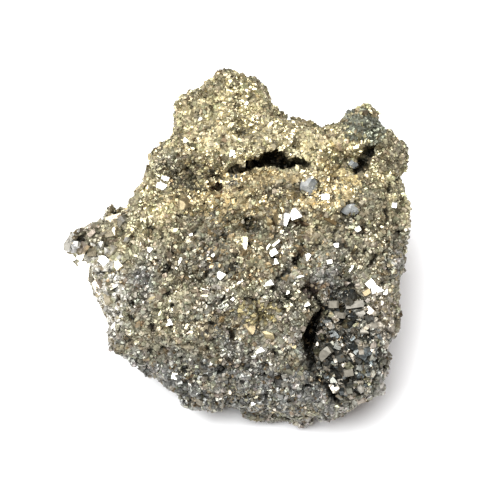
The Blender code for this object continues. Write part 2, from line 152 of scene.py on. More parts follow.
def in_cracks(points, margin=0):
    """Whether each point lies in one of the face's cracks or within a margin of it, from 0 to 1."""
    places = face_place(points)
    outside = np.full(len(places), np.inf)
    for crack in CRACKS:
        for start, end in zip(crack, crack[1:]):
            start, run = np.array(start), np.array(end) - np.array(start)
            share = np.clip((places[:, :2] - start[:2]) @ run[:2] / (run[:2] @ run[:2]), 0, 1)
            away = np.linalg.norm(places[:, :2] - start[:2] - share[:, None] * run[:2], axis=1)
            outside = np.minimum(outside, away - start[2] - share * run[2])
    return np.clip(0.5 - (outside - margin) / 0.3, 0, 1) * (places[:, 2] > 0)


def facet_height(point, size, relief):
    """The height, at a point, of a surface of flat facets that lean and step at random, in metres."""
    place = Vector(point / (size * MM))
    centre = noise.voronoi(place)[1][0]
    lean = noise.cell_vector(centre * 29) - Vector((0.5, 0.5, 0.5))
    step = noise.cell(centre * 13) - 0.5
    return relief * MM * (3.0 * lean.dot(place - centre) + step)


def remeshed(node, step, name):
    """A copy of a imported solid, with its doubled points merged, as an even net of faces."""
    bm = bmesh.new()
    bm.from_mesh(node.data)
    bmesh.ops.remove_doubles(bm, verts=bm.verts, dist=1e-6)
    mesh = bpy.data.meshes.new(name)
    bm.to_mesh(mesh)
    bm.free()
    obj = bpy.data.objects.new(name, mesh)
    bpy.context.scene.collection.objects.link(obj)
    net = obj.modifiers.new("net", "REMESH")
    net.mode = "VOXEL"
    net.voxel_size = step
    bpy.context.view_layer.update()
    even = bpy.data.meshes.new_from_object(obj.evaluated_get(bpy.context.evaluated_depsgraph_get()))
    obj.modifiers.clear()
    obj.data = even
    return obj


def read(data, name, width, kind=np.float32):
    values = np.zeros(len(data) * width, kind)
    data.foreach_get(name, values)
    return values.reshape(-1, width) if width > 1 else values


def write_attribute(mesh, name, kind, values):
    field = {"FLOAT": "value", "FLOAT_COLOR": "color"}[kind]
    attribute = mesh.attributes.new(name, kind, "POINT")
    attribute.data.foreach_set(field, np.ascontiguousarray(values, np.float32).ravel())


def lay_flat(mesh, by_facing=False):
    """Lay a mesh's faces flat in six fields of a map, one for each side that they lie on or face to."""
    points = read(mesh.vertices, "co", 3).astype(float)
    low, high = points.min(axis=0), points.max(axis=0)
    corners = read(mesh.loops, "vertex_index", 1, np.int32)
    places = ((2 * points - low - high) / (high - low))[corners]
    sizes = read(mesh.polygons, "loop_total", 1, np.int32)
    if by_facing:
        side = read(mesh.polygons, "normal", 3)
    else:
        side = np.add.reduceat(places, read(mesh.polygons, "loop_start", 1, np.int32)) / sizes[:, None]
    axis = np.abs(side).argmax(axis=1)
    field = np.repeat(2 * axis + (side[np.arange(len(axis)), axis] > 0), sizes)
    number = np.arange(len(corners))
    depth = 1 if by_facing else np.maximum(np.abs(places[number, field // 2]), 0.3)
    across = np.clip(places[number, (field // 2 + 1) % 3] / depth, -1.05, 1.05)
    up = np.clip(places[number, (field // 2 + 2) % 3] / depth, -1.05, 1.05)
    laid = np.stack(((field % 3 + 0.5 + 0.46 * across) / 3, (field // 3 + 0.5 + 0.46 * up) / 2), axis=1)
    mesh.uv_layers.new(name="OFBake").data.foreach_set("uv", laid.astype(np.float32).ravel())


def evened(points, edges, rounds):
    """Points drawn towards their neighbours, round after round."""
    one, two = edges.T
    neighbours = np.bincount(edges.ravel(), minlength=len(points))
    for _ in range(rounds):
        drawn = [
            np.bincount(one, points[two, axis], len(points)) + np.bincount(two, points[one, axis], len(points))
            for axis in range(3)
        ]
        points = 0.5 * points + 0.5 * np.stack(drawn, axis=1) / neighbours[:, None]
    return points


def hollow_shade(mesh):
    """How much painted shade each point of a mesh gets, from 0 to 1: the deeper its hollow, the more."""
    points = read(mesh.vertices, "co", 3).astype(float)
    depth = evened(points, read(mesh.edges, "vertices", 2, np.int32), EVENING_ROUNDS) - points
    depth = np.einsum("ij,ij->i", depth, read(mesh.vertices, "normal", 3)) / MM
    return np.clip((depth - SHADE_DEPTHS[0]) / (SHADE_DEPTHS[1] - SHADE_DEPTHS[0]), 0, 1)


def clouds(points, size):
    """Soft noise, from about -1 to 1, with swells of a size given in mm."""
    shift = Vector((size, 2 * size, 3 * size))
    return np.array([noise.noise(Vector(point) + shift) for point in (points / (size * MM)).tolist()]) * 1.6


def ore_colours(points, painted_shade, rng):
    """The colour of each grain or point of ore, from where it is in the lump and by chance."""
    places = face_place(points)
    broad, middling, fine = (clouds(points, size) for size in (7.0, 2.6, 1.2))
    # Lighter and more golden up the face: partly the ore's own brass and grey, partly painted light on the upper face
    # and shade on the lower front.
    golden_and_lit = np.clip(0.50 + places[:, 1] * 0.034 + 0.45 * broad, 0, 1)[:, None]
    olive = np.clip(0.42 + 0.8 * middling, 0, 1)[:, None] * 0.75
    brown = np.clip(fine - 0.35, 0, 1)[:, None]
    colours = SILVER + (BRASS - SILVER) * golden_and_lit
    colours += (OLIVE - colours) * olive
    colours += (BROWN - colours) * brown
    bright = rng.normal(0, 0.22, len(points)) + 0.22 * fine + 0.10 * broad
    colours *= np.exp(bright)[:, None] * (1 + rng.normal(0, 0.03, (len(points), 3)))
    on_face = places[:, 2] > 2
    for u, v, reach_u, reach_v, colour, share in PATCHES:
        away = ((places[:, 0] - u) / reach_u) ** 2 + ((places[:, 1] - v) / reach_v) ** 2
        inside = on_face & (rng.random(len(points)) < share * np.clip(1.6 - away, 0, 1))
        colours[inside] = np.array(colour) * np.exp(rng.normal(0, 0.22, inside.sum()))[:, None]
    # Painted shade darkens the hollows and the gaps, and paints the cracks black.
    colours *= (TARNISH * (1 - SHADE_STRENGTH * painted_shade) * (1 - (1 - CRACK_SHADE) * in_cracks(points)))[:, None]
    return np.concatenate((np.clip(colours, 0, 0.95), np.ones((len(points), 1))), axis=1)


def gaps(points):
    """Whether each point lies in a gap between the grains, from 0 to 1; there are fewer near the top."""
    fewer = 0.12 * np.clip((face_place(points)[:, 1] - 9) / 3, 0, 1)
    return np.clip((clouds(points, GAP_SIZE) - GAP_LIMITS[0] - fewer) / (GAP_LIMITS[1] - GAP_LIMITS[0]), 0, 1)


def dullness(points):
    """How dull the ore is at each point, from 0 to 1."""
    return np.clip(0.45 + 1.1 * clouds(points, DULL_SIZE), 0, 1)


rng = np.random.default_rng(7)
ground = remeshed(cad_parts["pyrite_mass"], GROUND_STEP, "pyrite_ground")
ground_shade = hollow_shade(ground.data)
ground_points = read(ground.data.vertices, "co", 3).astype(float)
ground_normals = read(ground.data.vertices, "normal", 3).astype(float)
ground_height = np.array(
    [sum(facet_height(point, size, relief) for size, relief in FACET_RELIEF) for point in ground_points]
)
ground_height += rng.uniform(-1, 1, len(ground_points)) * ROUGHNESS_RELIEF
ground_gaps = gaps(ground_points)
# Painted shade: the gaps between the grains are darkened like the hollows.
ground_shade = np.maximum(ground_shade, ground_gaps)
ground_sunk = GROUND_SUNK + GAP_DEPTH * ground_gaps + CRACK_SUNK * in_cracks(ground_points)
ground_points += ground_normals * (ground_height - ground_sunk)[:, None]
ground_points[:, 2] = np.maximum(ground_points[:, 2], REST_LEVEL)
ground.data.vertices.foreach_set("co", ground_points.astype(np.float32).ravel())
ground.data.update()


def new_shader(name):
    """A material, its nodes, its links and its shader."""
    material = bpy.data.materials.new(name)
    material.use_nodes = True
    nodes = material.node_tree.nodes
    return material, nodes, material.node_tree.links, nodes["Principled BSDF"]


def pyrite_material(name, facet_width, facet_lean, tone_range, polish, tint=(1, 1, 1)):
    """Pyrite: each grain has its own colour, and is broken into finer facets that lean and shine their own way."""
    material, nodes, links, shader = new_shader(name)
    shader.inputs["Metallic"].default_value = 0.88
    place = nodes.new("ShaderNodeTexCoord")
    own = nodes.new("ShaderNodeAttribute")
    own.attribute_name = "grain_colour"

    facet = nodes.new("ShaderNodeTexVoronoi")
    facet.inputs["Scale"].default_value = 1 / (facet_width * MM)
    parts = nodes.new("ShaderNodeSeparateColor")
    links.new(place.outputs["Object"], facet.inputs["Vector"])
    links.new(facet.outputs["Color"], parts.inputs["Color"])

    tone = nodes.new("ShaderNodeMapRange")
    tone.inputs["To Min"].default_value = tone_range[0]
    tone.inputs["To Max"].default_value = tone_range[1]
    toned = nodes.new("ShaderNodeMix")
    toned.data_type = "RGBA"
    toned.blend_type = "MULTIPLY"
    toned.inputs[0].default_value = 1.0
    links.new(parts.outputs["Red"], tone.inputs["Value"])
    links.new(own.outputs["Color"], toned.inputs[6])
    links.new(tone.outputs["Result"], toned.inputs[7])

    cloud = nodes.new("ShaderNodeTexNoise")
    cloud.inputs["Scale"].default_value = 1300
    cloud.inputs["Detail"].default_value = 4
    patch = nodes.new("ShaderNodeValToRGB")
    patch.color_ramp.elements[0].position = 0.56
    patch.color_ramp.elements[1].position = 0.70
    stained = nodes.new("ShaderNodeMix")
    stained.data_type = "RGBA"
    stained.inputs[7].default_value = (0.10, 0.07, 0.035, 1)
    links.new(place.outputs["Object"], cloud.inputs["Vector"])
    links.new(cloud.outputs["Fac"], patch.inputs["Fac"])
    links.new(patch.outputs["Color"], stained.inputs[0])
    links.new(toned.outputs[2], stained.inputs[6])
    links.new(stained.outputs[2], shader.inputs["Base Color"])

    shine = nodes.new("ShaderNodeMapRange")
    shine.inputs["To Min"].default_value = polish[0]
    shine.inputs["To Max"].default_value = polish[1]
    dull = nodes.new("ShaderNodeAttribute")
    dull.attribute_name = "dullness"
    dulled = nodes.new("ShaderNodeMath")
    dulled.operation = "MULTIPLY_ADD"
    dulled.inputs[1].default_value = DULLING
    links.new(parts.outputs["Green"], shine.inputs["Value"])
    links.new(dull.outputs["Fac"], dulled.inputs[0])
    links.new(shine.outputs["Result"], dulled.inputs[2])
    links.new(dulled.outputs[0], shader.inputs["Roughness"])

    middle = nodes.new("ShaderNodeVectorMath")
    middle.operation = "SUBTRACT"
    middle.inputs[1].default_value = (0.5, 0.5, 0.5)
    leaning = nodes.new("ShaderNodeVectorMath")
    leaning.operation = "SCALE"
    leaning.inputs["Scale"].default_value = facet_lean
    surface = nodes.new("ShaderNodeNewGeometry")
    tilted = nodes.new("ShaderNodeVectorMath")
    tilted.operation = "ADD"
    unit = nodes.new("ShaderNodeVectorMath")
    unit.operation = "NORMALIZE"
    links.new(facet.outputs["Color"], middle.inputs[0])
    links.new(middle.outputs[0], leaning.inputs[0])
    links.new(leaning.outputs[0], tilted.inputs[0])
    links.new(surface.outputs["Normal"], tilted.inputs[1])
    links.new(tilted.outputs[0], unit.inputs[0])
    links.new(unit.outputs[0], shader.inputs["Normal"])
    return material


write_attribute(ground.data, "grain_colour", "FLOAT_COLOR", ore_colours(ground_points, ground_shade, rng))
write_attribute(ground.data, "dullness", "FLOAT", dullness(ground_points))
lay_flat(ground.data)
ground.data.materials.clear()
ground.data.materials.append(pyrite_material("pyrite_ground", 0.40, 0.9, (0.5, 1.2), (0.3, 0.5)))
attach(ground, "root")
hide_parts("pyrite_mass")

# --- Coarse crystals ---------------------------------------------------------------------------------
# Larger crystals stand out of the fine ore: blocks with flat, finely striped faces at the pointed spur,
# bright fresh cubes all over the face, stained blocks with tan and brown faces, and a few needles.

CRYSTAL_RISE = 0.42 * MM  # how far a crystal's upper face stands over the ground
STAINED_RISE = 0.22 * MM
CRYSTAL_HEIGHT = 0.85  # as a share of its width
STRIPE_STEP = 0.11 * MM
STRIPES_UNEVEN = 14
BRIGHT_FACING = np.array((-0.134, -0.398, 0.907))  # most of the bright faces look up and a little forward
SPUR_FACING = np.array((-0.36, -0.37, 0.855))
CLEARED = 0.08 * MM  # no grain's middle is nearer than this to a coarse crystal

# Crystals of the face: (u, v, length, width, turn in the face), in mm and degrees.
BRIGHT_CRYSTALS = (
    (6.5, 4.7, 2.4, 1.4, 70), (8.1, 5.2, 1.6, 1.5, 20), (0.6, 0.6, 2.3, 1.1, 80), (4.9, -0.4, 1.1, 0.9, 30),
    (5.2, -1.7, 0.9, 0.8, 10), (9.7, -0.7, 1.8, 1.2, 60), (-2.7, -3.6, 1.2, 1.1, 45), (4.2, -4.6, 1.5, 1.1, 10),
    (7.0, -5.9, 0.9, 0.8, 30), (14.0, 0.6, 0.7, 0.6, 0), (-3.9, -0.7, 0.7, 0.7, 20), (12.4, 7.6, 1.1, 0.8, 0),
    (-11.0, 9.6, 2.1, 1.1, 75), (-12.0, 9.3, 1.0, 0.8, 60), (19.9, -5.5, 1.8, 1.4, 15), (18.9, -4.9, 1.2, 1.0, 40),
    (20.8, -6.2, 1.3, 1.1, 70), (9.7, -7.7, 0.9, 0.8, 20), (18.2, -13.0, 1.2, 0.9, 60), (-10.1, -10.4, 1.1, 1.0, 10),
    (-4.0, -16.1, 1.0, 0.9, 45), (-9.4, -18.3, 1.1, 0.8, 80), (1.9, -22.4, 0.9, 0.8, 10), (2.9, -14.4, 1.3, 1.0, 20),
    (-1.1, -7.1, 0.8, 0.7, 30), (13.0, -1.7, 0.8, 0.6, 10), (-12.8, 0.0, 0.8, 0.6, 50), (-7.1, 2.2, 0.7, 0.6, 10),
    (17.1, 2.9, 0.8, 0.7, 35), (22.5, 6.5, 0.9, 0.7, 80), (-5.7, 19.3, 0.9, 0.7, 20), (0.9, 21.6, 0.8, 0.7, 40),
    (-7.8, 16.1, 0.9, 0.8, 10), (-1.1, 14.4, 1.6, 1.4, 30), (13.0, -7.2, 1.4, 0.9, 10),
)
STAINED_CRYSTALS = (
    (0.5, 7.1, 1.8, 1.2, 0), (5.1, 4.2, 2.9, 1.2, 70), (-2.4, -10.2, 3.2, 1.9, 5), (0.9, -11.5, 2.6, 1.8, -10),
    (3.8, -12.4, 2.2, 1.6, 20), (-4.5, 7.6, 3.2, 1.5, 15), (-8.3, 6.7, 2.8, 1.3, 5), (18.0, -6.0, 1.5, 1.3, 20),
    (3.2, 10.4, 2.0, 1.4, 10), (-6.3, 3.2, 1.8, 1.2, 30), (13.0, 4.0, 2.0, 1.1, -10), (-12.8, -7.1, 1.9, 1.2, 40),
    (8.7, 2.0, 1.4, 0.9, 20), (16.2, 0.0, 1.8, 1.2, 50), (-16.2, -3.1, 1.8, 1.0, -50), (-7.4, -13.6, 1.6, 1.2, 10),
    (7.3, -13.7, 1.8, 1.2, -20),
)
NEEDLES = (
    (5.2, 0.9, 1.6, 0.35, 40), (4.1, 0.3, 1.2, 0.3, 55), (8.7, -3.9, 1.4, 0.3, 15), (-4.8, -5.7, 1.3, 0.3, -20),
    (16.2, -2.6, 1.5, 0.35, 60), (-8.5, -1.7, 1.2, 0.3, 70), (0.1, -4.6, 1.2, 0.3, 35),
)
SPUR_CRYSTALS = (
    (-24.7, 1.1, 2.4, 1.5, 75), (-24.1, -2.0, 1.5, 1.2, 10), (-18.4, 4.6, 2.9, 2.0, 60), (-19.7, 4.9, 1.2, 1.0, 20),
    (-18.5, 2.6, 1.7, 1.3, 10), (-20.1, 1.0, 1.6, 1.2, 80), (-18.3, -0.1, 1.5, 1.1, 60), (-21.9, -2.9, 3.4, 1.5, -55),
    (-20.4, -5.0, 3.2, 1.4, -60), (-21.5, 2.4, 1.8, 1.4, 20), (-22.7, 0.4, 1.5, 1.2, 50), (-21.3, -0.3, 1.3, 1.1, 0),
    (-23.0, -0.9, 1.2, 1.0, 70), (-19.5, -1.7, 1.6, 1.2, -40), (-17.1, 4.0, 1.5, 1.2, 40), (-16.1, 1.7, 1.3, 1.0, 20),
    (-17.4, -2.3, 1.4, 1.1, -50), (-18.8, -6.9, 1.8, 1.1, -60), (-17.8, 6.3, 1.6, 1.2, 30),
)
BRIGHT_TONES = ((0.60, 0.585, 0.53), (0.66, 0.62, 0.52), (0.52, 0.50, 0.43))
SPUR_TONES = ((0.64, 0.63, 0.58), (0.50, 0.44, 0.31), (0.46, 0.44, 0.38), (0.54, 0.46, 0.37), (0.62, 0.58, 0.48))
STAIN_TONES = ((0.36, 0.29, 0.17), (0.42, 0.37, 0.26), (0.30, 0.21, 0.10), (0.46, 0.39, 0.23))


def clipped(planes, size=2):
    """A closed crystal about two units wide: a cube, cut by planes given by normal and distance."""
    bm = bmesh.new()
    bmesh.ops.create_cube(bm, size=size)
    for normal, distance in planes:
        axis = Vector(normal).normalized()
        cut = bmesh.ops.bisect_plane(
            bm,
            geom=bm.verts[:] + bm.edges[:] + bm.faces[:],
            plane_co=axis * distance,
            plane_no=axis,
            clear_outer=True,
            dist=1e-5,
        )
        rim = [item for item in cut["geom_cut"] if isinstance(item, bmesh.types.BMEdge)]
        if rim:
            bmesh.ops.contextual_create(bm, geom=rim)
    bmesh.ops.recalc_face_normals(bm, faces=bm.faces)
    bm.verts.index_update()
    points = np.array([vert.co[:] for vert in bm.verts])
    faces = [[vert.index for vert in face.verts] for face in bm.faces]
    bm.free()
    return points, faces


def corner_cuts(distance, count=8):
    """The planes that cut a cube's corners."""
    corners = [(x, y, z) for x in (-1, 1) for y in (-1, 1) for z in (-1, 1)]
    return [(corner, distance) for corner in corners[:count]]


def twelve_sided():
    """The planes of pyrite's own form, with twelve five-sided faces."""
    planes = []
    for one in (-1, 1):
        for two in (-2, 2):
            planes += [((one, two, 0), 0.9), ((0, one, two), 0.9), ((two, 0, one), 0.9)]
    return planes


def broken(count, rng):
    """The planes of a chip: a few breaks in any direction."""
    return [(tuple(rng.normal(size=3)), rng.uniform(0.4, 0.8)) for _ in range(count)]


def flake(sides, rng):
    """A broken flake: a flat top and bottom, and a few sides that lean outwards to the bottom."""
    planes = [((0, 0, 1), 0.6), ((0, 0, -1), 0.3)]
    for number in range(sides):
        angle = (number + rng.uniform(-0.28, 0.28)) * math.tau / sides
        lean, reach = rng.uniform(0.15, 0.55), rng.uniform(0.62, 0.95)
        planes.append(((math.cos(angle), math.sin(angle), lean), (reach - 0.3 * lean) / math.hypot(1, lean)))
    return clipped(planes, 5)


def upright(outwards, lean, rng):
    """Turns that bring a form's top roughly outwards, each leaning and turned at random."""
    up = outwards + rng.normal(0, lean, outwards.shape)
    up /= np.linalg.norm(up, axis=1)[:, None]
    along = np.cross(up, rng.normal(size=outwards.shape))
    along /= np.linalg.norm(along, axis=1)[:, None]
    return np.stack((along, np.cross(up, along), up), axis=2)


def turns(count, rng):
    """Random turns, as matrices."""
    q = rng.normal(size=(count, 4))
    q /= np.linalg.norm(q, axis=1)[:, None]
    w, x, y, z = q.T
    rows = (1 - 2 * (y * y + z * z), 2 * (x * y - z * w), 2 * (x * z + y * w))
    rows += (2 * (x * y + z * w), 1 - 2 * (x * x + z * z), 2 * (y * z - x * w))
    rows += (2 * (x * z - y * w), 2 * (y * z + x * w), 1 - 2 * (x * x + y * y))
    return np.stack(rows, axis=1).reshape(-1, 3, 3)


def face_corners(count):
    """The corners of a small regular polygon in the middle of a unit cell."""
    angles = np.arange(count) * math.tau / count
    return 0.3 * np.stack((np.cos(angles), np.sin(angles)), axis=1)


def joined_crystals(name, forms, chosen, centres, widths, turned, colours, dull=None):
    """One mesh of many crystals, each with its own form, place, widths, turn and colour."""
    points, tinted, cells, corners, sizes, growth, dulled = [], [], [], [], [], [], []
    dull = np.zeros(len(centres)) if dull is None else dull
    count = 0
    side = math.ceil(math.sqrt(len(centres)))
    for number, (form_points, form_faces) in enumerate(forms):
        mine = np.flatnonzero(chosen == number)
        if not len(mine):
            continue
        local = form_points[None] * widths[mine][:, None, :] / 2
        placed = np.einsum("nij,nkj->nki", turned[mine], local) + centres[mine][:, None]
        placed[:, :, 2] -= np.minimum(placed[:, :, 2].min(axis=1), 0)[:, None]
        points.append(placed.reshape(-1, 3))
        tinted.append(np.repeat(colours[mine], len(form_points), axis=0))
        dulled.append(np.repeat(dull[mine], len(form_points)))
        growth.append((local[:, :, 0] / STRIPE_STEP).ravel() * math.tau)
        loops = np.concatenate([np.array(face) for face in form_faces])
        starts = count + np.arange(len(mine)) * len(form_points)
        corners.append((starts[:, None] + loops[None]).ravel())
        sizes.append(np.tile([len(face) for face in form_faces], len(mine)))
        local_uv = np.concatenate([face_corners(len(face)) for face in form_faces])
        cell = np.stack((mine % side, mine // side), axis=1)[:, None] + 0.5
        cells.append((cell + local_uv[None]).reshape(-1, 2) / side)
        count += len(mine) * len(form_points)
    points, corners, sizes = map(np.concatenate, (points, corners, sizes))
    mesh = bpy.data.meshes.new(name)
    mesh.vertices.add(len(points))
    mesh.vertices.foreach_set("co", points.astype(np.float32).ravel())
    mesh.loops.add(len(corners))
    mesh.loops.foreach_set("vertex_index", corners.astype(np.int32))
    mesh.polygons.add(len(sizes))
    mesh.polygons.foreach_set("loop_start", np.concatenate(((0,), np.cumsum(sizes)[:-1])).astype(np.int32))
    mesh.uv_layers.new(name="OFBake").data.foreach_set("uv", np.concatenate(cells).astype(np.float32).ravel())
    mesh.update(calc_edges=True)
    mesh.validate()
    mesh.shade_flat()
    write_attribute(mesh, "grain_colour", "FLOAT_COLOR", np.concatenate(tinted))
    write_attribute(mesh, "growth", "FLOAT", np.concatenate(growth))
    write_attribute(mesh, "dullness", "FLOAT", np.concatenate(dulled))
    obj = bpy.data.objects.new(name, mesh)
    bpy.context.scene.collection.objects.link(obj)
    return obj


def standing(crystals, surface, facing, lean, rise, rng):
    """Centres, turns and widths of listed crystals where they stand on a surface."""
    centres, turned, widths = [], [], []
    for u, v, length, width, degrees in crystals:
        point, normal = surface.ray_cast(Vector(from_face(u, v, 40)), Vector(-FACE_W))[:2]
        if point is None:
            point, normal = surface.find_nearest(Vector(from_face(u, v, 0)))[:2]
        up = np.array(normal if facing is None else facing) + rng.normal(0, lean, 3)
        up /= np.linalg.norm(up)
        along = FACE_U * math.cos(math.radians(degrees)) + FACE_V * math.sin(math.radians(degrees))
        along -= up * (along @ up)
        along /= np.linalg.norm(along)
        height = min(length, width * CRYSTAL_HEIGHT) * MM
        centres.append(np.array(point) + up * (rise - height / 2))
        turned.append(np.stack((along, np.cross(up, along), up), axis=1))
        widths.append((length * MM, width * MM, height))
    return np.array(centres), np.array(turned), np.array(widths)


def crystal_material(name, polish, stripes, metallic=0.8):
    """A coarse crystal's clean faces: its own colour, finely striped, with a little stain."""
    material, nodes, links, shader = new_shader(name)
    shader.inputs["Metallic"].default_value = metallic
    place = nodes.new("ShaderNodeTexCoord")
    own = nodes.new("ShaderNodeAttribute")
    own.attribute_name = "grain_colour"
    cloud = nodes.new("ShaderNodeTexNoise")
    cloud.inputs["Scale"].default_value = 1800
    cloud.inputs["Detail"].default_value = 5
    stain = nodes.new("ShaderNodeMapRange")
    stain.inputs["From Min"].default_value = 0.35
    stain.inputs["From Max"].default_value = 0.65
    stain.inputs["To Min"].default_value = 0.78
    stain.inputs["To Max"].default_value = 1.12
    toned = nodes.new("ShaderNodeMix")
    toned.data_type = "RGBA"
    toned.blend_type = "MULTIPLY"
    toned.inputs[0].default_value = 1.0
    links.new(place.outputs["Object"], cloud.inputs["Vector"])
    links.new(cloud.outputs["Fac"], stain.inputs["Value"])
    links.new(own.outputs["Color"], toned.inputs[6])
    links.new(stain.outputs["Result"], toned.inputs[7])
    links.new(toned.outputs[2], shader.inputs["Base Color"])
    rough = nodes.new("ShaderNodeMapRange")
    rough.inputs["To Min"].default_value = polish[0]
    rough.inputs["To Max"].default_value = polish[1]
    links.new(cloud.outputs["Fac"], rough.inputs["Value"])
    links.new(rough.outputs["Result"], shader.inputs["Roughness"])
    growth = nodes.new("ShaderNodeAttribute")
    growth.attribute_name = "growth"
    wave = nodes.new("ShaderNodeMath")
    wave.operation = "SINE"
    relief = nodes.new("ShaderNodeBump")
    relief.inputs["Strength"].default_value = stripes
    relief.inputs["Distance"].default_value = 0.02 * MM
    uneven = nodes.new("ShaderNodeMath")
    uneven.operation = "MULTIPLY_ADD"
    uneven.inputs[1].default_value = STRIPES_UNEVEN
    links.new(cloud.outputs["Fac"], uneven.inputs[0])
    links.new(growth.outputs["Fac"], uneven.inputs[2])
    links.new(uneven.outputs[0], wave.inputs[0])
    links.new(wave.outputs[0], relief.inputs["Height"])
    links.new(relief.outputs["Normal"], shader.inputs["Normal"])
    return material


def recess_shade_easing(points):
    """How far the hollow's painted shade eases off: near its right side its crystals are as light as the face's."""
    return (1 + RECESS_SHADE_EASING * np.clip((face_place(points)[:, 0] - 16.5) / 2.5, 0, 1))[:, None]


def tones(picks, count, rng):
    """Colours picked from a few, each a little lighter or darker."""
    picked = np.array(picks)[rng.integers(0, len(picks), count)] * TARNISH
    picked *= np.exp(rng.normal(0, 0.12, count))[:, None]
    return np.concatenate((np.clip(picked, 0, 0.95), np.ones((count, 1))), axis=1)


BLOCK_FORMS = [clipped(corner_cuts(1.45, 1)), clipped(corner_cuts(1.3, 2)), clipped([((1, 0, 1), 1.1)])]
BLOCK_FORMS += [clipped([((1, 0.3, 0.8), 1.1), ((-1, 0.8, 0.6), 1.2)] + broken(1, rng)) for _ in range(3)]
CHIP_FORMS = [clipped([((0, 0, 1), 0.8)] + broken(6, rng)) for _ in range(6)]


def grown_crystals(name, crystals, forms, facing, lean, rise, colours, material, surface, rng):
    """One piece of listed crystals, and their centres, turns and widths."""
    centres, turned, widths = standing(crystals, surface, facing, lean, rise, rng)
    chosen = rng.integers(0, len(forms), len(crystals))
    piece = joined_crystals(name, forms, chosen, centres, widths, turned, colours)
    piece.data.materials.append(material)
    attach(piece, "root")
    return piece, (centres, turned, widths)


surface_bm = bmesh.new()
surface_bm.from_mesh(ground.data)
ground_surface = BVHTree.FromBMesh(surface_bm)
surface_bm.free()
clean_face = crystal_material("pyrite_clean_faces", (0.15, 0.4), 0.25)
striped_face = crystal_material("pyrite_striped_faces", (0.18, 0.4), 0.3)
stained_face = crystal_material("pyrite_stained_faces", (0.35, 0.6), 0.3)
pale_face = crystal_material("pyrite_pale_faces", (0.35, 0.6), 0.2, 0.35)
coarse = []
for name, crystals, forms, facing, lean, rise, picks, material in (
    ("bright_crystals", BRIGHT_CRYSTALS, BLOCK_FORMS + CHIP_FORMS[:2], BRIGHT_FACING, 0.07, CRYSTAL_RISE, BRIGHT_TONES, clean_face),
    ("stained_crystals", STAINED_CRYSTALS, CHIP_FORMS, None, 0.10, STAINED_RISE, STAIN_TONES, stained_face),
    ("needle_crystals", NEEDLES, BLOCK_FORMS, BRIGHT_FACING, 0.1, CRYSTAL_RISE, BRIGHT_TONES, clean_face),
    ("spur_crystals", SPUR_CRYSTALS, BLOCK_FORMS + CHIP_FORMS[:3], SPUR_FACING, 0.20, CRYSTAL_RISE, SPUR_TONES, striped_face),
):
    colours = tones(picks, len(crystals), rng)
    piece, laid = grown_crystals(
        name, crystals, forms, facing, lean, rise, colours, material, ground_surface, rng
    )
    coarse.append(laid)
coarse_centres, coarse_turns, coarse_widths = (np.concatenate(part) for part in zip(*coarse))

# --- Grains ------------------------------------------------------------------------------------------
# The separate grains of the massive pyrite, a third of a millimetre to a millimetre wide, stand all over
# the lump. They are cubes, cut cubes and broken flakes, grown deep into the ground.

GRAIN_TRIES = 170000
GRAIN_WIDTH = (0.34, 0.66)  # of fine and of coarse ground, in mm
WIDEST_GRAIN = 1.05 * MM
WIDEST_BLOCK = 0.75 * MM  # grains that aren't flakes and stand at any angle
GRAIN_SPACING = 0.64  # as a share of their widths
GRAIN_SUNK = (0.20, 0.38)  # share of its width by which a bright and a dull grain's middle lies under the ground
FLAKE_SHARE = 0.8
FLAKE_WIDENED = 1.6
WIDEST_FLAKE = 1.35 * MM
OVERHANG = 0.36 * MM  # how far a grain's edges may stand off the ground before it's made smaller
FLAKE_TOPS = (0.08, 0.30)  # how far a flake's top stands over the ground, in mm
FLAKE_LEAN = 0.28
SECTOR_NAMES = ("lower_left", "lower_right", "upper_right", "upper_left", "front", "right_side", "back", "left_side")


def scattered(mesh, values, count, rng):
    """Points spread evenly over a mesh, with its normals and the mean of its values there."""
    mesh.calc_loop_triangles()
    corners = read(mesh.loop_triangles, "vertices", 3, np.int32)
    points = read(mesh.vertices, "co", 3).astype(float)
    a, b, c = (points[corners[:, k]] for k in range(3))
    across = np.cross(b - a, c - a)
    area = np.linalg.norm(across, axis=1)
    chosen = rng.choice(len(corners), count, p=area / area.sum())
    one, two = np.sqrt(rng.random(count)), rng.random(count)
    spots = a[chosen] * (1 - one)[:, None] + b[chosen] * (one * (1 - two))[:, None]
    spots += c[chosen] * (one * two)[:, None]
    return spots, across[chosen] / area[chosen][:, None], values[corners[chosen]].mean(axis=1)


def spaced(points, reach):
    """Which points to keep so that none lies within another's reach."""
    cells = {}
    kept = []
    step = reach.max()
    homes = (points // step).astype(int).tolist()
    around = [(x, y, z) for x in (-1, 0, 1) for y in (-1, 0, 1) for z in (-1, 0, 1)]
    places, squares = points.tolist(), (reach ** 2).tolist()
    for number, (hx, hy, hz) in enumerate(homes):
        px, py, pz = places[number]
        square = squares[number]
        free = True
        for x, y, z in around:
            for ox, oy, oz in cells.get((hx + x, hy + y, hz + z), ()):
                if (ox - px) ** 2 + (oy - py) ** 2 + (oz - pz) ** 2 < square:
                    free = False
                    break
            if not free:
                break
        if free:
            cells.setdefault((hx, hy, hz), []).append((px, py, pz))
            kept.append(number)
    return np.array(kept)


GRAIN_FORMS = [clipped([])] * 2 + [clipped(corner_cuts(1.25, 1)), clipped(corner_cuts(1.1, 2))]
FLAKE_FORMS = [flake(sides, rng) for sides in (4, 4, 4, 4, 5, 5, 5, 5, 5, 6, 6, 6)]


def clear_of(points, centres, turned, widths, margin):
    """Which points lie outside every one of some turned blocks."""
    clear = np.ones(len(points), bool)
    for centre, turn, width in zip(centres, turned, widths):
        near = np.flatnonzero(np.abs(points - centre).max(axis=1) < width.max() + margin)
        inside = np.abs((points[near] - centre) @ turn) < width / 2 + margin
        clear[near[inside.all(axis=1)]] = False
    return clear


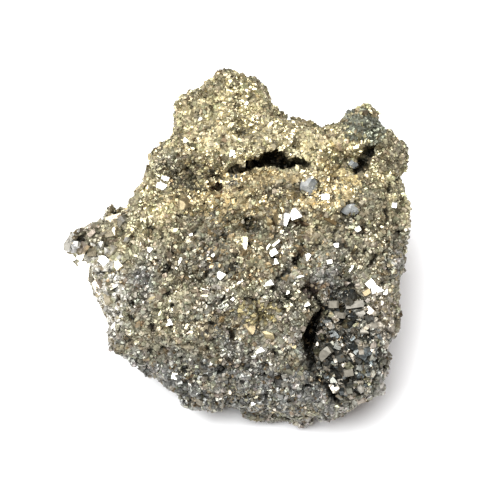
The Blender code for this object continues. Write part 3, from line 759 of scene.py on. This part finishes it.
def placed_grains(mesh, painted_shade, tries, width_range, coarseness, rng):
    """Where grains stand on a mesh: their places, the ways out, their widths and the painted shade of the ground there.
    """
    spots, outwards, spot_shade = scattered(mesh, painted_shade, tries, rng)
    share = np.clip(coarseness(spots), 0, 1)
    widths = (width_range[0] + (width_range[1] - width_range[0]) * share) * MM
    widths = np.minimum(widths * np.exp(rng.normal(0, 0.32, len(spots))), WIDEST_GRAIN)
    order = np.argsort(-widths * rng.uniform(0.8, 1.25, len(spots)))
    spots, outwards, spot_shade, widths = spots[order], outwards[order], spot_shade[order], widths[order]
    kept = spaced(spots, widths * GRAIN_SPACING)
    return spots[kept], outwards[kept], spot_shade[kept], widths[kept]


def stand_off(spots, turned, widths, surface):
    """How far the edges of grains that lie on a surface stand off it."""
    off = np.full(len(spots), 1e-6)
    for axis in (0, 1):
        for side in (-0.5, 0.5):
            edges = spots + turned[:, :, axis] * (widths * side)[:, None]
            off = np.maximum(off, [surface.find_nearest(Vector(edge))[3] for edge in edges.tolist()])
    return off


def lump_coarseness(points):
    """How coarse the ore is at each point: coarser in patches, at the spur and low on the front."""
    places = face_place(points)
    coarse = 0.35 + 0.5 * clouds(points, 6.0)
    coarse += 0.35 * np.clip((-places[:, 1] - 9) / 12, 0, 1) + 0.5 * np.clip((-places[:, 0] - 16) / 4, 0, 1)
    coarse += 0.35 * np.clip(-places[:, 2] / 6, 0, 1)
    return coarse


spots, outwards, spot_shade, widths = placed_grains(
    ground.data, ground_shade, GRAIN_TRIES, GRAIN_WIDTH, lump_coarseness, rng
)
kept = clear_of(spots, coarse_centres, coarse_turns, coarse_widths, CLEARED)
kept &= (gaps(spots) < 0.5) & (in_cracks(spots, CRACK_KEPT_FREE) < 0.5)
spots, outwards, spot_shade, widths = spots[kept], outwards[kept], spot_shade[kept], widths[kept]
places = face_place(spots)
dull = dullness(spots)
flaky = rng.random(len(spots)) < FLAKE_SHARE
chosen = np.where(
    flaky, len(GRAIN_FORMS) + rng.integers(0, len(FLAKE_FORMS), len(spots)), rng.integers(0, len(GRAIN_FORMS), len(spots))
)
widths = np.where(flaky, np.minimum(widths * FLAKE_WIDENED, WIDEST_FLAKE), np.minimum(widths, WIDEST_BLOCK))
turned = turns(len(spots), rng)
turned[flaky] = upright(outwards[flaky], FLAKE_LEAN, rng)
shapes = widths[:, None] * rng.uniform(0.7, 1.2, (len(spots), 3))
shapes *= np.clip(OVERHANG / stand_off(spots, turned, widths, ground_surface), 0.45, 1)[:, None]
sunk = widths * (GRAIN_SUNK[0] + (GRAIN_SUNK[1] - GRAIN_SUNK[0]) * dull)
top = shapes[:, 2] * 0.3 - rng.uniform(*FLAKE_TOPS, len(spots)) * MM
sunk = np.where(flaky, top, sunk)
centres = spots - outwards * sunk[:, None]
colours = ore_colours(spots, spot_shade, rng)
grain_material = pyrite_material("pyrite_grains", 0.26, 0.30, (0.75, 1.15), (0.28, 0.48))
sector = np.floor((np.arctan2(places[:, 1], places[:, 0]) + math.pi) / math.tau * 4).astype(int) % 4
sector += 4 * (places[:, 2] < 0)
for number, sector_name in enumerate(SECTOR_NAMES):
    mine = np.flatnonzero(sector == number)
    piece = joined_crystals(
        "grains_" + sector_name, GRAIN_FORMS + FLAKE_FORMS, chosen[mine], centres[mine], shapes[mine], turned[mine],
        colours[mine], dull[mine],
    )
    print("NUM", piece.name, len(mine), sum(len(p.vertices) - 2 for p in piece.data.polygons))
    piece.data.materials.append(grain_material)
    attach(piece, "root")
print("NUM grains", len(spots), "ground", len(ground.data.polygons) * 2)

# --- Crystals of the hollow --------------------------------------------------------------------------
# A hollow at the lower right is lined with one crust of coarse pyrite, darker than the face: partly its
# own colour, partly painted shade of the recess, which eases off toward its right side. Its bed is the
# packed solid's, a little lower, with facets worked into it; grains and larger blocks stand tight on the bed.

CRUST_STEP = 0.20 * MM
CRUST_SUNK = 0.25 * MM
CRUST_RELIEF = ((1.6, 0.5), (0.8, 0.25))
HOLLOW_TRIES = 9000
# how much the hollow's painted shade eases off at its right side
RECESS_SHADE_EASING = 1.5
HOLLOW_GRAIN_WIDTH = (0.4, 0.85)
HOLLOW_TONES = (
    (0.07, 0.07, 0.06), (0.12, 0.12, 0.105), (0.055, 0.06, 0.058), (0.16, 0.155, 0.125), (0.10, 0.095, 0.06),
    (0.30, 0.27, 0.22), (0.08, 0.09, 0.09), (0.09, 0.09, 0.08), (0.55, 0.50, 0.41),
)
PALE_TONES = ((0.35, 0.30, 0.245), (0.27, 0.25, 0.205), (0.31, 0.29, 0.245), (0.24, 0.22, 0.175))
DARK_TONES = ((0.26, 0.25, 0.20), (0.12, 0.12, 0.105), (0.15, 0.15, 0.13), (0.10, 0.105, 0.10))
PALE_BLOCKS = (
    (11.7, -11.9, 1.0, 0.6, 30), (14.4, -9.3, 1.6, 0.8, -10), (17.4, -9.2, 1.3, 0.8, 20), (19.1, -10.7, 1.4, 0.9, 20),
    (17.9, -11.7, 1.3, 0.6, 0), (16.5, -12.8, 1.5, 0.9, -30), (19.1, -13.7, 1.3, 0.7, 80), (12.3, -14.9, 2.1, 1.2, 40),
    (15.6, -17.6, 1.3, 1.0, 10), (17.1, -19.7, 1.9, 0.6, -60), (16.1, -21.2, 1.3, 1.1, 10), (17.6, -21.8, 1.3, 0.8, 20),
    (16.5, -7.8, 2.6, 0.9, 8), (13.5, -7.8, 1.4, 1.0, 0),
)
DARK_BLOCKS = (
    (18.2, -10.3, 1.2, 1.0, 30), (15.8, -11.5, 1.4, 1.1, 25), (13.6, -12.0, 1.2, 1.0, 20), (14.2, -14.0, 1.3, 1.0, -20),
    (17.0, -14.5, 1.4, 1.1, 45), (18.7, -15.2, 1.2, 1.0, 70), (13.2, -16.7, 1.0, 0.9, 10), (17.4, -16.9, 1.2, 1.0, -15),
    (13.6, -18.7, 1.1, 0.9, 0), (15.2, -15.6, 1.1, 0.9, 30), (12.9, -10.2, 1.2, 0.9, -20),
)

crust = remeshed(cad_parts["vug_crystals"], CRUST_STEP, "hollow_crust")
crust_shade = hollow_shade(crust.data)
crust_points = read(crust.data.vertices, "co", 3).astype(float)
crust_height = np.array(
    [sum(facet_height(point, size, relief) for size, relief in CRUST_RELIEF) for point in crust_points]
)
crust_normals = read(crust.data.vertices, "normal", 3).astype(float)
crust_sunk = CRUST_SUNK + 0.5 * CRACK_SUNK * in_cracks(crust_points)
crust_points += crust_normals * (np.minimum(crust_height, 0) - crust_sunk)[:, None]
crust.data.vertices.foreach_set("co", crust_points.astype(np.float32).ravel())
crust.data.update()
crust_colours = tones(HOLLOW_TONES, len(crust_points), rng)
# Painted shade of the recess: the crust under the grains is darkened, its cracks are black, and the shade eases off to
# the right.
crust_colours[:, :3] *= 0.7 * (1 - (1 - CRACK_SHADE) * in_cracks(crust_points))[:, None] * recess_shade_easing(crust_points)
write_attribute(crust.data, "grain_colour", "FLOAT_COLOR", crust_colours)
lay_flat(crust.data, by_facing=True)
crust.data.materials.clear()
crust.data.materials.append(pyrite_material("hollow_crust", 0.6, 0.9, (0.5, 1.3), (0.3, 0.55)))
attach(crust, "root")
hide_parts("vug_crystals")

surface_bm = bmesh.new()
surface_bm.from_mesh(crust.data)
surface_bm.from_mesh(ground.data)
hollow_surface = BVHTree.FromBMesh(surface_bm)
surface_bm.free()
standing_blocks = []
for name, crystals, forms, picks, material in (
    ("hollow_pale_blocks", PALE_BLOCKS, BLOCK_FORMS + CHIP_FORMS[:4], PALE_TONES, pale_face),
    ("hollow_dark_blocks", DARK_BLOCKS, BLOCK_FORMS, DARK_TONES, striped_face),
):
    piece, laid = grown_crystals(
        name, crystals, forms, FACE_W, 0.3, CRYSTAL_RISE, tones(picks, len(crystals), rng), material,
        hollow_surface, rng,
    )
    standing_blocks.append(laid)
block_centres, block_turns, block_widths = (np.concatenate(part) for part in zip(*standing_blocks))
spots, outwards, spot_shade, widths = placed_grains(
    crust.data, crust_shade, HOLLOW_TRIES, HOLLOW_GRAIN_WIDTH, lambda points: 0.4 + 0.6 * clouds(points, 2.0), rng
)
kept = clear_of(spots, block_centres, block_turns, block_widths, CLEARED) & (outwards @ FACE_W > -0.1)
kept &= in_cracks(spots, CRACK_KEPT_FREE) < 0.5
spots, outwards, spot_shade, widths = spots[kept], outwards[kept], spot_shade[kept], widths[kept]
chosen = rng.integers(0, len(GRAIN_FORMS), len(spots))
shapes = widths[:, None] * rng.uniform(0.6, 1.3, (len(spots), 3))
grain_colours = tones(HOLLOW_TONES, len(spots), rng)
# Painted shade of the recess, easing off toward the hollow's right side.
grain_colours[:, :3] *= recess_shade_easing(spots)
hollow_grains = joined_crystals(
    "hollow_grains", GRAIN_FORMS, chosen, spots - outwards * widths[:, None] * GRAIN_SUNK[0], shapes,
    turns(len(spots), rng), grain_colours,
)
hollow_grains.data.materials.append(grain_material)
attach(hollow_grains, "root")
print("NUM hollow", len(spots), len(crust.data.polygons) * 2)

# --- Quartz grains -----------------------------------------------------------------------------------
# Three grains of clear, greyish quartz are grown into the upper half of the face. Each is the packed
# solid's own shape, broken into small flat faces.

QUARTZ_STEP = 0.16 * MM
QUARTZ_SUNK = 0.02 * MM
QUARTZ_BREAKS = 7  # flat breaks across each grain
BREAK_LEAN = 0.45
BREAK_DEPTH = 0.82  # share of a grain's points that a break leaves as they are
RIM_TRIES = 900
RIM_GRAIN_WIDTH = (0.3, 0.5)
RIM_SIDES = 5
RIM_REACH = (0.56, 0.88)  # how far the bare quartz reaches to each side, as a share of the whole grain's
RIM_DENSITY = 0.8

quartz_material, nodes, links, shader = new_shader("quartz")
shader.inputs["Transmission Weight"].default_value = 0.8
shader.inputs["IOR"].default_value = 1.54
quartz_place = nodes.new("ShaderNodeTexCoord")
quartz_cloud = nodes.new("ShaderNodeTexNoise")
quartz_cloud.inputs["Scale"].default_value = 900
quartz_cloud.inputs["Detail"].default_value = 5
quartz_tone = nodes.new("ShaderNodeValToRGB")
quartz_tone.color_ramp.elements[0].position = 0.38
quartz_tone.color_ramp.elements[0].color = (0.32, 0.35, 0.36, 1)
quartz_tone.color_ramp.elements[1].position = 0.62
quartz_tone.color_ramp.elements[1].color = (0.66, 0.66, 0.62, 1)
quartz_rough = nodes.new("ShaderNodeMapRange")
quartz_rough.inputs["To Min"].default_value = 0.2
quartz_rough.inputs["To Max"].default_value = 0.6
links.new(quartz_place.outputs["Object"], quartz_cloud.inputs["Vector"])
links.new(quartz_cloud.outputs["Fac"], quartz_tone.inputs["Fac"])
links.new(quartz_tone.outputs["Color"], shader.inputs["Base Color"])
links.new(quartz_cloud.outputs["Fac"], quartz_rough.inputs["Value"])
links.new(quartz_rough.outputs["Result"], shader.inputs["Roughness"])
rim = []
for node_name in ("quartz_grain_upper", "quartz_grain_right", "quartz_chip"):
    grain = remeshed(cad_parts[node_name], QUARTZ_STEP, node_name.replace("quartz_", "clear_quartz_"))
    points = read(grain.data.vertices, "co", 3).astype(float)
    points -= read(grain.data.vertices, "normal", 3) * QUARTZ_SUNK
    for _ in range(QUARTZ_BREAKS):
        way = FACE_W + rng.normal(0, BREAK_LEAN, 3)
        way /= np.linalg.norm(way)
        level = np.quantile(points @ way, BREAK_DEPTH)
        points -= np.outer(np.clip(points @ way - level, 0, None), way)
    grain.data.vertices.foreach_set("co", points.astype(np.float32).ravel())
    grain.data.update()
    lay_flat(grain.data)
    grain.data.materials.clear()
    grain.data.materials.append(quartz_material)
    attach(grain, "root")
    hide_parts(node_name)
    spots, outwards, spot_shade, widths = placed_grains(
        grain.data, np.zeros(len(points)), RIM_TRIES, RIM_GRAIN_WIDTH, lump_coarseness, rng
    )
    angles = (np.arange(RIM_SIDES) + rng.uniform(-0.35, 0.35, RIM_SIDES)) * math.tau / RIM_SIDES
    ways = np.outer(np.cos(angles), FACE_U) + np.outer(np.sin(angles), FACE_V)
    reach = ((points - points.mean(axis=0)) @ ways.T).max(axis=0) * rng.uniform(*RIM_REACH, RIM_SIDES)
    kept = (((spots - points.mean(axis=0)) @ ways.T) > reach).any(axis=1) & (outwards @ FACE_W > 0)
    kept &= rng.random(len(spots)) < RIM_DENSITY
    rim.append((spots[kept], outwards[kept], widths[kept]))
spots, outwards, widths = (np.concatenate(part) for part in zip(*rim))
rim_grains = joined_crystals(
    "grains_round_quartz", FLAKE_FORMS, rng.integers(0, len(FLAKE_FORMS), len(spots)),
    spots - outwards * 0.1 * MM, widths[:, None] * rng.uniform(0.9, 1.5, (len(spots), 3)),
    upright(outwards, FLAKE_LEAN, rng), ore_colours(spots, np.zeros(len(spots)), rng),
)
rim_grains.data.materials.append(grain_material)
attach(rim_grains, "root")

# --- Camera, floor and light -------------------------------------------------------------------------

CAMERA_DISTANCE = 320 * MM
FRAME_WIDTH = 75 * MM  # what the picture takes in at the lump's heart

camera = bpy.data.objects.new("camera", bpy.data.cameras.new("camera"))
bpy.context.scene.collection.objects.link(camera)
aim = HEART + FACE_U * 1.5 * MM
camera.location = aim + FACE_W * CAMERA_DISTANCE
camera.rotation_euler = Vector(-FACE_W).to_track_quat("-Z", "Y").to_euler()
camera.data.lens = camera.data.sensor_width * CAMERA_DISTANCE / FRAME_WIDTH
camera.data.clip_start = 0.01
bpy.context.scene.camera = camera

bm = bmesh.new()
bmesh.ops.create_grid(bm, x_segments=1, y_segments=1, size=1.5)
floor_mesh = bpy.data.meshes.new("floor")
bm.to_mesh(floor_mesh)
bm.free()
floor = bpy.data.objects.new("floor", floor_mesh)
bpy.context.scene.collection.objects.link(floor)
floor_material, _, _, floor_shader = new_shader("floor")
floor_shader.inputs["Base Color"].default_value = (0.9, 0.9, 0.9, 1)
floor_shader.inputs["Roughness"].default_value = 0.7
floor_shader.inputs["Specular IOR Level"].default_value = 0.1
floor_mesh.materials.append(floor_material)


def soft_light(name, direction, distance, size, power, colour):
    """A square soft light that faces the lump."""
    light = bpy.data.lights.new(name, "AREA")
    light.shape = "SQUARE"
    light.size = size
    light.energy = power
    light.color = colour
    lamp = bpy.data.objects.new(name, light)
    bpy.context.scene.collection.objects.link(lamp)
    towards = Vector(direction).normalized()
    lamp.location = Vector(HEART) + towards * distance
    lamp.rotation_euler = (-towards).to_track_quat("-Z", "Y").to_euler()


soft_light("key", (-0.30, -0.14, 1.0), 0.6, 0.6, 12.6, (0.96, 0.98, 1.0))

world = bpy.data.worlds.new("room")
bpy.context.scene.world = world
world.use_nodes = True
world.node_tree.nodes["Background"].inputs["Color"].default_value = (1.0, 0.90, 0.87, 1)
world.node_tree.nodes["Background"].inputs["Strength"].default_value = 0.37
bpy.context.scene.view_settings.view_transform = "Standard"
